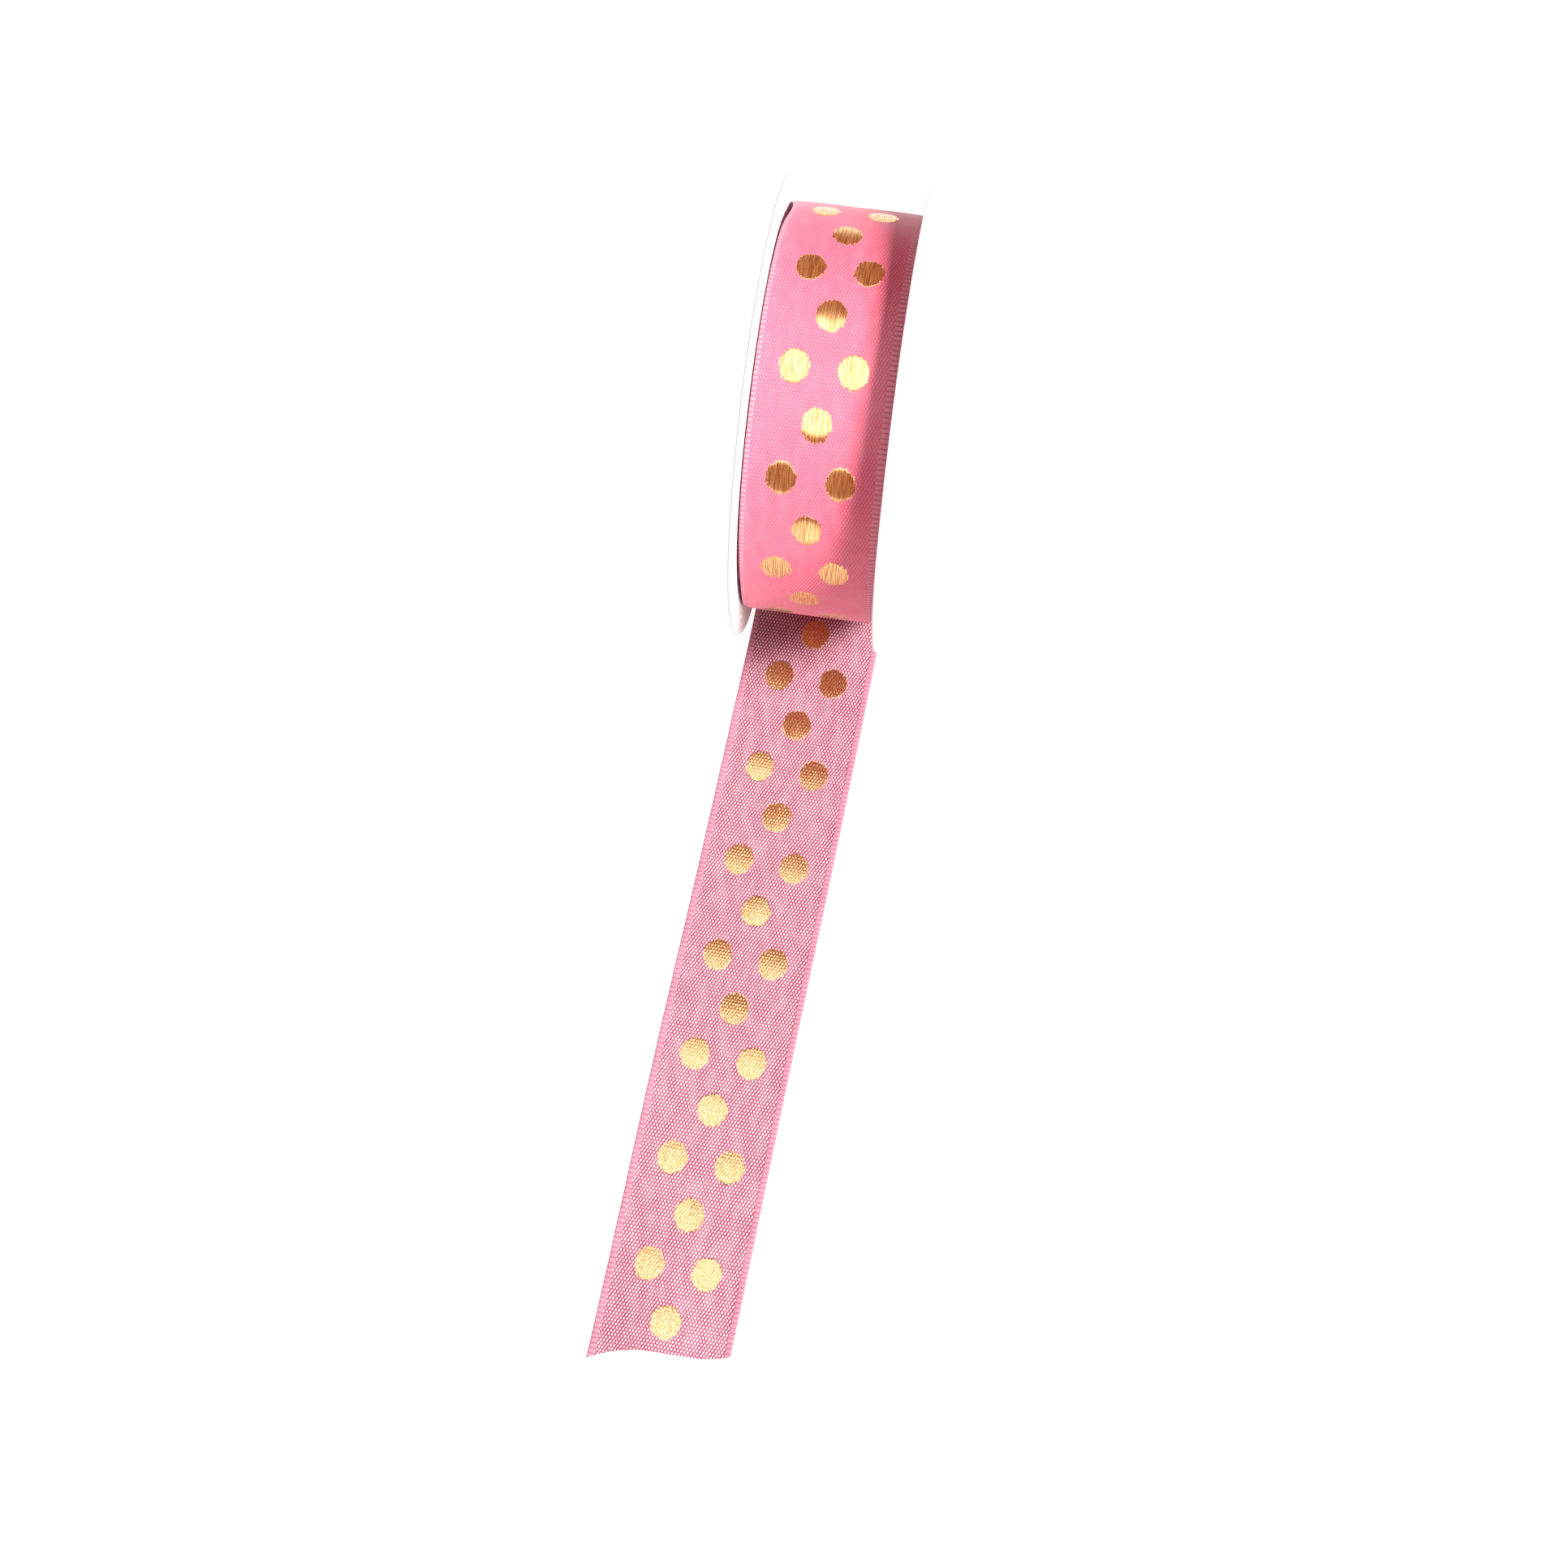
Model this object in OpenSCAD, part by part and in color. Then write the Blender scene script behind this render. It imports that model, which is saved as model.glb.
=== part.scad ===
// Ribbon spool: a snapped-together plastic reel, wound with ribbon, with its loose end lying in front.
// Frame: origin at the spool's centre on its axis, +X along the axis, +Z up, the loose end towards -Y.

/* [Ribbon] */
// Width of the ribbon
ribbon_w = 25; // [20:0.5:40]
// Thickness of one layer of ribbon
ribbon_t = 0.35; // [0.25:0.05:0.6]
// Outer radius of the wound ribbon
roll_r = 37.8; // [28:0.2:60]

/* [Flanges] */
// How far a flange stands out past the wound ribbon
flange_margin = 5.2; // [3:0.1:12]
// Thickness of a flange's web
flange_t = 0.6; // [0.5:0.1:2]
// How far the rim bead and the hub pad stand proud of the web
bead_h = 0.2; // [0.1:0.05:0.6]
// Radial width of the rim bead
rim_w = 1.4; // [0.8:0.1:2.5]
// Radial width of the hub pad outside the core
pad_margin = 3.2; // [1:0.1:8]
// Gap between a ribbon edge and a flange
side_gap = 0.15; // [0.1:0.05:0.5]

/* [Core] */
// Outer radius of the core tube that the ribbon is wound on
core_r = 16; // [15:0.25:20]
// Wall of the core tube
core_wall = 1.2; // [1:0.1:2]
// Thickness of the tape that holds the ribbon's inner end
tape_t = 0.2; // [0.15:0.05:0.4]
// Length of that tape round the core, in degrees
tape_arc = 70; // [30:5:120]
// How far that tape's sides stay inside the ribbon's edges
tape_inset = 3; // [1:0.5:5]

/* [Hub] */
// Radius of the hole for a dispenser rod
bore_r = 9.5; // [6:0.25:10]
// Wall of the tube round that hole
bore_wall = 1.1; // [0.8:0.1:1.6]
// How far each bore tube reaches in from its flange
bore_tube_l = 8; // [5:0.5:9.5]
// Lead-in chamfer at the mouth of the hole
mouth_chamfer = 0.3; // [0.1:0.05:0.5]
// How far each snap ring reaches into the core
snap_l = 6; // [4:0.5:8]
// Wall of the snap ring
snap_wall = 1; // [0.8:0.1:1.2]
// Radial clearance between the snap ring and the core
snap_fit = 0.05; // [0.02:0.01:0.15]
// Height of the ridge that snaps into the core's groove
snap_ridge_h = 0.3; // [0.15:0.05:0.5]
// Length of that ridge along the axis
snap_ridge_l = 1.6; // [1:0.1:2]
// Distance of that ridge from the snap ring's tip
snap_ridge_lead = 0.5; // [0.2:0.1:1]
// Slots that split a snap ring into fingers
finger_count = 3; // [2:1:6]
// Width of each of those slots
finger_slot = 3; // [1:0.5:5]
// Thickness of the ribs between the bore tube and the snap ring
rib_t = 0.9; // [0.6:0.1:1.5]
// How far those ribs reach in from the flange
rib_l = 3; // [1:0.5:4]
// Width of the moulding window beside each snap finger
window_w = 6; // [3:0.5:8]
// Radial height of that window
window_h = 2; // [1:0.1:2.5]
// Gap between the snap ring and that window
window_gap = 0.3; // [0.2:0.05:0.5]

/* [Loose end] */
// Distance of the cut end in front of the axis
tail_reach = 170; // [90:1:260]
// Sideways drift of the cut end, towards -X
tail_drift = 7.1; // [0:0.1:15]
// Height of the shallow arch in the loose end
tail_arch = 2.4; // [0:0.1:6]
// How much shorter the cut makes the +X edge
cut_slant = 3.5; // [0:0.5:8]
// Clearance between the loose end and the roll that it leaves
tail_gap = 0.15; // [0.1:0.05:0.4]
// Where the ribbon leaves the roll, in degrees behind its lowest point
leave_angle = 4; // [2:0.5:10]
// How far the loose end follows the roll before that, in degrees
follow_angle = 5; // [2:0.5:15]
// Distance over which the loose end comes down from the roll
landing_run = 31; // [20:1:60]
// Height of the ribbon's middle layer above the surface where it has come down
landing_h = 0.9; // [0.3:0.1:2]

/* [Hidden] */
$fn = 96;

flange_r = roll_r + flange_margin;
inner_w = ribbon_w + 2 * side_gap;
pad_r = core_r + pad_margin;
core_in_r = core_r - core_wall;
snap_r = core_in_r - snap_fit;
snap_in_r = snap_r - snap_wall;
bore_out_r = bore_r + bore_wall;
// distance of the snap ridge's crest from the flange's inner face
ridge_at = snap_l - snap_ridge_l / 2 - snap_ridge_lead;
outer_face = -flange_t - bead_h;
// the core's groove lies over the ridge and is longer by the clearance at both ends
groove_at = ridge_at - inner_w / 2;
groove_half = snap_ridge_l / 2 + snap_fit;
tape_fit = 0.02;
roll_in_r = core_r + tape_t + tape_fit;
// cuts run past the faces they open by this much
past = 1;

plastic = [0.96, 0.96, 0.95];
pink = [0.95, 0.48, 0.63];
tape_colour = [0.9, 0.86, 0.74];

// the loose end: stations behind the leaving point, on the way down and along the surface
tail_mid_r = roll_r + tail_gap + ribbon_t / 2;
leave_y = tail_mid_r * sin(leave_angle);
leave_z = -tail_mid_r * cos(leave_angle);
land_y = leave_y - landing_run;
land_z = landing_h - flange_r;
end_z = ribbon_t / 2 - flange_r;
// the loose end drifts once it is lower than the flanges' rims, at this share of the way to where they
// stand out past the roll
drift_share = 0.7;
drift_from = drift_share * sqrt(pow(flange_r, 2) - pow(roll_r, 2));
// the drift grows a little faster than the distance, so the loose end curves gently
drift_power = 1.15;
// the arch's crest lies past the middle of the loose end
arch_power = 1.3;
follow_steps = 3;
landing_steps = 10;
lying_steps = 28;

// distances and slopes along the loose end's side view
function ease(u) = u * u * (3 - 2 * u);
function drift_u(y) = max(0, (-y - drift_from) / (tail_reach - drift_from));
function drift(y) = -tail_drift * pow(drift_u(y), drift_power);
function lying_u(y) = (land_y - y) / (tail_reach + land_y);
function lying_z(y) = land_z + (end_z - land_z) * ease(lying_u(y))
    + tail_arch * pow(sin(180 * pow(lying_u(y), arch_power)), 2);
// a cubic that starts along the roll's tangent and ends level
function landing_z(u) = (2 * pow(u, 3) - 3 * u * u + 1) * leave_z
    - (pow(u, 3) - 2 * u * u + u) * landing_run * tan(leave_angle)
    + ease(u) * land_z;

function follow_point(a) = [0, tail_mid_r * sin(a), -tail_mid_r * cos(a)];
function landing_point(u) = [drift(leave_y - u * landing_run), leave_y - u * landing_run, landing_z(u)];
function lying_point(y) = [drift(y), y, lying_z(y)];

// the last station is as far as the cut's short side reaches
lying_len = tail_reach - cut_slant + land_y;
tail_path = concat(
    [for (i = [0:follow_steps]) follow_point(leave_angle + follow_angle * (1 - i / follow_steps))],
    [for (i = [1:landing_steps]) landing_point(i / landing_steps)],
    [for (i = [1:lying_steps]) lying_point(land_y - lying_len * i / lying_steps)]
);
tail_last = len(tail_path) - 1;
tail_tip = lying_point(-tail_reach);

function unit(v) = v / norm(v);
function heading(i) = unit(tail_path[min(i + 1, tail_last)] - tail_path[max(i - 1, 0)]);
function sideways(d) = unit([-d[1], d[0], 0]);
function upwards(d) = cross(d, sideways(d)) * -1;
// a ring of four corners: right top, left top, left bottom, right bottom
function ring(right, left, up) = [
    right + up * ribbon_t / 2,
    left + up * ribbon_t / 2,
    left - up * ribbon_t / 2,
    right - up * ribbon_t / 2
];
function station_ring(i) = let(d = heading(i), s = sideways(d) * ribbon_w / 2)
    ring(tail_path[i] + s, tail_path[i] - s, upwards(d));
// the slanted cut: the right corner is at the last station, the left one at the tip
function cut_ring() = let(d = unit(tail_tip - tail_path[tail_last]), s = sideways(d) * ribbon_w / 2)
    ring(tail_path[tail_last] + s, tail_tip - s, upwards(d));

module along_x() {
    rotate([0, 90, 0]) children();
}

// a ring round the axis from one x to another
module tube(x0, x1, r_out, r_in) {
    translate([x0, 0, 0]) along_x() difference() {
        cylinder(h = x1 - x0, r = r_out);
        translate([0, 0, -past]) cylinder(h = x1 - x0 + 2 * past, r = r_in);
    }
}

// one flange as moulded: a profile of radius and distance from the inner face, turned round the axis
module flange_turned() {
    along_x() rotate_extrude() polygon([
        [bore_r + mouth_chamfer, outer_face], [pad_r, outer_face], [pad_r, -flange_t],
        [flange_r - rim_w, -flange_t], [flange_r - rim_w, outer_face], [flange_r, outer_face], [flange_r, 0],
        [snap_r, 0], [snap_r, ridge_at - snap_ridge_l / 2], [snap_r + snap_ridge_h, ridge_at],
        [snap_r, ridge_at + snap_ridge_l / 2], [snap_r, snap_l], [snap_in_r, snap_l], [snap_in_r, 0],
        [bore_out_r, 0], [bore_out_r, bore_tube_l], [bore_r, bore_tube_l], [bore_r, outer_face + mouth_chamfer]
    ]);
}

// a flange with its inner face at x = 0 and its hub reaching towards +X
module flange() {
    finger_pitch = 360 / finger_count;
    difference() {
        union() {
            flange_turned();
            for (k = [0:finger_count - 1]) rotate([finger_pitch * k, 0, 0])
                translate([-flange_t / 2, -rib_t / 2, bore_out_r - bore_wall / 2])
                    cube([rib_l + flange_t / 2, rib_t, snap_in_r - bore_out_r + (bore_wall + snap_wall) / 2]);
        }
        // slots that leave springy fingers
        for (k = [0:finger_count - 1]) rotate([finger_pitch * (k + 0.5), 0, 0])
            translate([flange_t, -finger_slot / 2, (bore_out_r + snap_in_r) / 2])
                cube([snap_l, finger_slot, snap_r]);
        // moulding windows beside the fingers
        for (k = [0:finger_count - 1]) rotate([finger_pitch * k, 0, 0])
            translate([outer_face - past, -window_w / 2, snap_r + window_gap])
                cube([past - outer_face + past, window_w, window_h]);
    }
}

module left_flange() {
    color(plastic) translate([-inner_w / 2, 0, 0]) flange();
}

module right_flange() {
    color(plastic) mirror([1, 0, 0]) translate([-inner_w / 2, 0, 0]) flange();
}

module core_tube() {
    color(plastic) difference() {
        tube(-inner_w / 2, inner_w / 2, core_r, core_in_r);
        // grooves for the flanges' snap ridges
        for (side = [0, 1]) mirror([side, 0, 0]) along_x() rotate_extrude() polygon([
            [core_in_r - past, groove_at - groove_half], [core_in_r, groove_at - groove_half],
            [core_in_r + snap_ridge_h, groove_at], [core_in_r, groove_at + groove_half],
            [core_in_r - past, groove_at + groove_half]
        ]);
    }
}

module core_tape() {
    color(tape_colour) translate([-ribbon_w / 2 + tape_inset, 0, 0]) along_x()
        rotate_extrude(angle = tape_arc)
            translate([core_r, 0]) square([tape_t, ribbon_w - 2 * tape_inset]);
}

module ribbon_roll() {
    color(pink) tube(-ribbon_w / 2, ribbon_w / 2, roll_r, roll_in_r);
}

module ribbon_tail() {
    rings = concat([for (i = [0:tail_last - 1]) station_ring(i)], [cut_ring()]);
    last = len(rings) - 1;
    points = [for (r = rings) for (p = r) p];
    sides = [for (i = [0:last - 1]) for (k = [0:3])
        let(a = 4 * i + k, b = 4 * i + (k + 1) % 4)
        each [[a, b, b + 4], [a, b + 4, a + 4]]];
    caps = [[0, 3, 2], [0, 2, 1], [4 * last, 4 * last + 1, 4 * last + 2], [4 * last, 4 * last + 2, 4 * last + 3]];
    color(pink) polyhedron(points = points, faces = concat(sides, caps));
}

left_flange();
right_flange();
core_tube();
core_tape();
ribbon_roll();
ribbon_tail();
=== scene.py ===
"""Ribbon spool: a white plastic reel wound with pink dotted ribbon, with its loose end lying in front."""

import logging
import math
from dataclasses import dataclass, field
from enum import Enum

import bmesh
import bpy
import numpy as np
from mathutils import Matrix, Vector


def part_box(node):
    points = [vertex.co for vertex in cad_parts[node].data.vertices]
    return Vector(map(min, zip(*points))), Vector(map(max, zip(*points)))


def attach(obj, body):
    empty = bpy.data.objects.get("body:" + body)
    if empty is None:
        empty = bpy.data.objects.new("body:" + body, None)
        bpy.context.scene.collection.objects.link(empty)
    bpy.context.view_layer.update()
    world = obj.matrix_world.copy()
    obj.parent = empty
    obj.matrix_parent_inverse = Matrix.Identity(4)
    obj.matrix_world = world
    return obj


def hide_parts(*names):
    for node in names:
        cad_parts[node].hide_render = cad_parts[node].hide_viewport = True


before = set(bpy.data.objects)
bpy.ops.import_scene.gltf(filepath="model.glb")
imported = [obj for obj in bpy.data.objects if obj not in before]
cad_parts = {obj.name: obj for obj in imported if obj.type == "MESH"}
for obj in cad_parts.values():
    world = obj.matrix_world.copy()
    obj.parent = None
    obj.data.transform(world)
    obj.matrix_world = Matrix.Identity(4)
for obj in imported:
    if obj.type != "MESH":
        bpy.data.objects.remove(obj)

MM = 0.001
FULL_TURN = 2.0 * math.pi
RIBBON_MAP = "ribbon"
# the ribbon's UV map holds millimetres divided by this, so that it stays between 0 and 1
MAP_SPAN_MM = 250.0
Socket = bpy.types.NodeSocket
# what a node's input takes: another node's output, a number or a colour
Value = Socket | float | tuple
# the Mix node's inputs and output for colours, which come after those for numbers and vectors
COLOUR_A, COLOUR_B, COLOUR_RESULT = 6, 7, 2
LOG = logging.getLogger("ribbon_spool")


class ClothSide(Enum):
    """Which side of the woven ribbon a finish is for."""

    FACE = "face"
    REVERSE = "reverse"


class LightUse(Enum):
    """Whether a light is for the cloth's and plastic's own colour or for what shiny surfaces mirror."""

    COLOUR = "colour"
    MIRRORED = "mirrored"


# --------------------------------------------------------------------------------------------- meshes


def quads_of_grid(
    rows: int, columns: int, close_rows: bool = False, close_columns: bool = False
) -> np.ndarray:
    """Gives the quads that join the points of a grid, numbered row by row.

    Args:
        rows: Number of rows of points.
        columns: Number of points in a row.
        close_rows: Whether the last row joins the first.
        close_columns: Whether each row's last point joins its first.

    Returns:
        An array of four point numbers for each quad.
    """
    row = np.arange(rows if close_rows else rows - 1)
    column = np.arange(columns if close_columns else columns - 1)
    row, column = (a.ravel() for a in np.meshgrid(row, column, indexing="ij"))
    next_row, next_column = (row + 1) % rows, (column + 1) % columns
    return np.stack(
        [row * columns + column, row * columns + next_column, next_row * columns + next_column,
         next_row * columns + column],
        axis=1,
    )


def turned_points(
    along_axis: np.ndarray, radius: np.ndarray, count: int, start: float = 0.0
) -> np.ndarray:
    """Turns a profile round the X axis: its radius times the cosine and the sine of each angle.

    Args:
        along_axis: The profile's places along the axis.
        radius: Its distances from the axis.
        count: Number of angles in the full turn.
        start: The first angle, in radians from the Y axis.

    Returns:
        The points, one row of them for each angle.
    """
    angle = (start + np.arange(count) * FULL_TURN / count)[:, None]
    return np.stack(
        np.broadcast_arrays(along_axis, radius * np.cos(angle), radius * np.sin(angle)), axis=-1
    )


def mesh_object(
    name: str, points: np.ndarray, faces: list, cloth_uv: np.ndarray | None = None
) -> bpy.types.Object:
    """Makes a smooth-shaded mesh object at the origin.

    Args:
        name: The object's name.
        points: Its points, in metres.
        faces: Its faces, as lists of point numbers.
        cloth_uv: The place of each point on the flat ribbon, in the finish's UV units, where it has one.

    Returns:
        The new object, linked to the scene.
    """
    mesh = bpy.data.meshes.new(name)
    mesh.from_pydata(points.reshape(-1, 3).tolist(), [], faces)
    mesh.shade_smooth()
    if cloth_uv is not None:
        write_map(mesh, cloth_uv.reshape(-1, 2)[corner_points(mesh)])
    made = bpy.data.objects.new(name, mesh)
    bpy.context.scene.collection.objects.link(made)
    return made


def corner_points(mesh: bpy.types.Mesh) -> np.ndarray:
    """Reads the point number of each corner of each face.

    Args:
        mesh: A mesh.

    Returns:
        The numbers, face by face.
    """
    point = np.zeros(len(mesh.loops), np.int32)
    mesh.loops.foreach_get("vertex_index", point)
    return point


def write_map(mesh: bpy.types.Mesh, corner_uv: np.ndarray) -> None:
    """Writes the ribbon's UV map from a pair of values for each corner of each face."""
    layer = mesh.uv_layers.new(name=RIBBON_MAP)
    layer.uv.foreach_set("vector", corner_uv.astype(np.float32).ravel())


def weld(obj: bpy.types.Object, distance: float = 1e-7) -> None:
    """Merges points that lie together, as an unrounded corner's points do, and drops faces of no area.

    Args:
        obj: A mesh object.
        distance: How far apart merged points may be, in metres.
    """
    work = bmesh.new()
    work.from_mesh(obj.data)
    bmesh.ops.remove_doubles(work, verts=work.verts, dist=distance)
    bmesh.ops.dissolve_degenerate(work, edges=work.edges, dist=distance)
    bmesh.ops.recalc_face_normals(work, faces=work.faces)
    work.to_mesh(obj.data)
    work.free()
    obj.data.shade_smooth()


def mark_sharp(obj: bpy.types.Object, angle_deg: float = 40.0) -> None:
    """Keeps edges that turn by more than an angle, in degrees, sharp in shading."""
    obj.data.set_sharp_from_angle(angle=math.radians(angle_deg))


def eased(values: np.ndarray) -> np.ndarray:
    """Gives a smooth rise from 0 to 1 with level ends, three times the square less twice the cube."""
    held = np.clip(values, 0.0, 1.0)
    return held * held * (3.0 - 2.0 * held)


def unit(vectors: np.ndarray) -> np.ndarray:
    """Gives each vector along the last axis at length one."""
    return vectors / np.linalg.norm(vectors, axis=-1, keepdims=True)


def wave_sum(angle: np.ndarray, waves: tuple) -> np.ndarray:
    """Adds sine waves, each given as its count in a full turn, its height and its phase in radians."""
    return sum(height * np.sin(count * angle + phase) for count, height, phase in waves)


# ------------------------------------------------------------------------------------------- materials


class NodeTools:
    """Adds nodes to a node tree with short calls."""

    def __init__(self, tree: bpy.types.NodeTree) -> None:
        """Takes the tree to work on."""
        self.tree = tree

    def add(self, kind: str) -> bpy.types.Node:
        """Adds a node of the given kind."""
        return self.tree.nodes.new(kind)

    def join(self, source: Value, target: Socket) -> None:
        """Links a socket, or sets a number or colour, on a target socket.

        Args:
            source: What the target takes.
            target: A node's input.
        """
        if isinstance(source, Socket):
            self.tree.links.new(source, target)
        else:
            target.default_value = source

    def math(self, operation: str, *values: Value, clamp: bool = False) -> Socket:
        """Adds a Math node.

        Args:
            operation: Blender's name of the operation.
            values: Its inputs, each a socket or a number.
            clamp: Whether the result is held between 0 and 1.

        Returns:
            The result's socket.
        """
        node = self.add("ShaderNodeMath")
        node.operation = operation
        node.use_clamp = clamp
        for place, value in enumerate(values):
            self.join(value, node.inputs[place])
        return node.outputs[0]

    def times(self, first: Value, second: Value) -> Socket:
        """Multiplies two values."""
        return self.math("MULTIPLY", first, second)

    def plus(self, first: Value, second: Value) -> Socket:
        """Adds two values."""
        return self.math("ADD", first, second)

    def minus(self, first: Value, second: Value) -> Socket:
        """Takes the second value from the first."""
        return self.math("SUBTRACT", first, second)

    def over(self, first: Value, second: Value) -> Socket:
        """Divides the first value by the second."""
        return self.math("DIVIDE", first, second)

    def scaled(self, value: Value, factor: Value, added: Value) -> Socket:
        """Multiplies a value by a factor and adds another to the product."""
        return self.math("MULTIPLY_ADD", value, factor, added)

    def mix(self, share: Value, first: Value, second: Value) -> Socket:
        """Mixes two numbers: their difference times the share, plus the first."""
        return self.scaled(self.minus(second, first), share, first)

    def length(self, x: Value, y: Value) -> Socket:
        """Gives the root of the sum of two values' squares."""
        return self.math("SQRT", self.plus(self.math("POWER", x, 2.0), self.math("POWER", y, 2.0)))

    def ramp(
        self, value: Value, low: float, high: float, to_low: float = 0.0, to_high: float = 1.0
    ) -> Socket:
        """Maps a value smoothly from one span to another, and holds it there outside the span.

        Args:
            value: The value.
            low: Where the first span starts.
            high: Where it ends.
            to_low: What the value becomes at its start.
            to_high: What it becomes at its end.

        Returns:
            The mapped value's socket.
        """
        node = self.add("ShaderNodeMapRange")
        node.interpolation_type = "SMOOTHSTEP"
        for place, given in enumerate((value, low, high, to_low, to_high)):
            self.join(given, node.inputs[place])
        return node.outputs[0]

    def blend(self, share: Value, first: Value, second: Value) -> Socket:
        """Mixes two colours.

        Args:
            share: The second colour's share, from 0 to 1.
            first: The first colour.
            second: The second colour.

        Returns:
            The mixed colour's socket.
        """
        node = self.add("ShaderNodeMix")
        node.data_type = "RGBA"
        self.join(share, node.inputs["Factor"])
        self.join(first, node.inputs[COLOUR_A])
        self.join(second, node.inputs[COLOUR_B])
        return node.outputs[COLOUR_RESULT]

    def combine(self, x: Value, y: Value, z: Value = 0.0) -> Socket:
        """Makes a vector.

        Args:
            x: Its first value.
            y: Its second value.
            z: Its third value.

        Returns:
            The vector's socket.
        """
        node = self.add("ShaderNodeCombineXYZ")
        for place, value in enumerate((x, y, z)):
            self.join(value, node.inputs[place])
        return node.outputs[0]

    def parts(self, vector: Socket) -> list[Socket]:
        """Takes a vector apart.

        Args:
            vector: The vector's socket.

        Returns:
            The sockets of its three values.
        """
        node = self.add("ShaderNodeSeparateXYZ")
        self.join(vector, node.inputs[0])
        return list(node.outputs)

    def noise(
        self, vector: Socket, scale: float, detail: float = 2.0, roughness: float = 0.5
    ) -> Socket:
        """Adds a Noise texture.

        Args:
            vector: The place it is read at.
            scale: How fine it is.
            detail: How many finer layers it has.
            roughness: How strong those are.

        Returns:
            Its value's socket, about 0.5 on average.
        """
        node = self.add("ShaderNodeTexNoise")
        self.join(vector, node.inputs["Vector"])
        node.inputs["Scale"].default_value = scale
        node.inputs["Detail"].default_value = detail
        node.inputs["Roughness"].default_value = roughness
        return node.outputs[0]

    def scatter(self, vector: Socket) -> Socket:
        """Adds a random value for each different vector.

        Args:
            vector: The vector's socket.

        Returns:
            The value's socket, from 0 to 1.
        """
        node = self.add("ShaderNodeTexWhiteNoise")
        node.noise_dimensions = "3D"
        self.join(vector, node.inputs["Vector"])
        return node.outputs["Value"]


class NodeBench(NodeTools):
    """Builds one material's node tree round a Principled shader."""

    def __init__(self, name: str) -> None:
        """Starts a material.

        Args:
            name: The material's name.
        """
        self.material = bpy.data.materials.new(name)
        self.material.use_nodes = True
        super().__init__(self.material.node_tree)
        self.tree.nodes.clear()
        output = self.add("ShaderNodeOutputMaterial")
        self.shader = self.add("ShaderNodeBsdfPrincipled")
        self.tree.links.new(self.shader.outputs["BSDF"], output.inputs["Surface"])

    def object_place(self) -> Socket:
        """Gives the place on the object, in metres."""
        return self.add("ShaderNodeTexCoord").outputs["Object"]

    def ribbon_place(self) -> tuple[Socket, Socket]:
        """Reads the ribbon's UV map.

        Returns:
            The place on the flat ribbon: millimetres from its left edge, and along it.
        """
        source = self.add("ShaderNodeUVMap")
        source.uv_map = RIBBON_MAP
        across, along, _ = self.parts(source.outputs[0])
        return self.times(across, MAP_SPAN_MM), self.times(along, MAP_SPAN_MM)

    def dress(self, socket: str, value: Value) -> None:
        """Links a socket, or sets a number or colour, on one of the shader's own sockets."""
        self.join(value, self.shader.inputs[socket])

    def set(self, **values: float | tuple) -> None:
        """Sets numbers or colours on the shader's own sockets, named with _ for a space."""
        for name, value in values.items():
            self.shader.inputs[name.replace("_", " ")].default_value = value

    def raise_surface(self, height: Socket, distance: float, strength: float = 1.0) -> None:
        """Bumps the shader's surface.

        Args:
            height: The height's socket, where 1 stands for the distance.
            distance: That distance, in metres.
            strength: How strongly it shows.
        """
        bump = self.add("ShaderNodeBump")
        bump.inputs["Distance"].default_value = distance
        bump.inputs["Strength"].default_value = strength
        self.join(height, bump.inputs["Height"])
        self.dress("Normal", bump.outputs[0])


@dataclass(frozen=True)
class DotPattern:
    """The woven dots: pairs and singles in turn along the ribbon. Sizes in millimetres."""

    ribbon_width: float = 25.0
    pair_spacing: float = 10.5
    dot_width: float = 5.35
    dot_length: float = 6.2
    rows_in_a_turn: int = 24
    thread_pitch: float = 0.24
    # how ragged a dot's outline is and how softly it ends, as shares of its radius
    ragged: float = 0.07
    outline_softness: float = 0.04
    tooth_length: float = 1.5
    # third coordinates of the random values, so that the two do not repeat each other
    tooth_chance: float = 3.0
    tilt_chance: float = 7.0

    def row_pitch(self, radius_mm: float) -> float:
        """Gives the distance between rows that closes evenly round the wound ribbon."""
        return FULL_TURN * radius_mm / self.rows_in_a_turn


@dataclass(frozen=True)
class DotSockets:
    """Node sockets that describe the dots.

    They are: 1 inside a dot and 0 outside, the lengthwise thread's number, how far out from the
    dot's middle (1 at its edge), and a height that tips each dot a little at random.
    """

    inside: Socket
    thread: Socket
    outward: Socket
    tipped: Socket


@dataclass(frozen=True)
class ClothSockets:
    """Node sockets that describe the cloth.

    They are: the place across and along the ribbon in millimetres, the weave's height and the yarn's
    unevenness from 0 to 1, 1 in a selvedge and 0 elsewhere, and the height of the selvedge's ribs.
    """

    across: Socket
    along: Socket
    weave: Socket
    yarn: Socket
    selvedge: Socket
    rib: Socket


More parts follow.
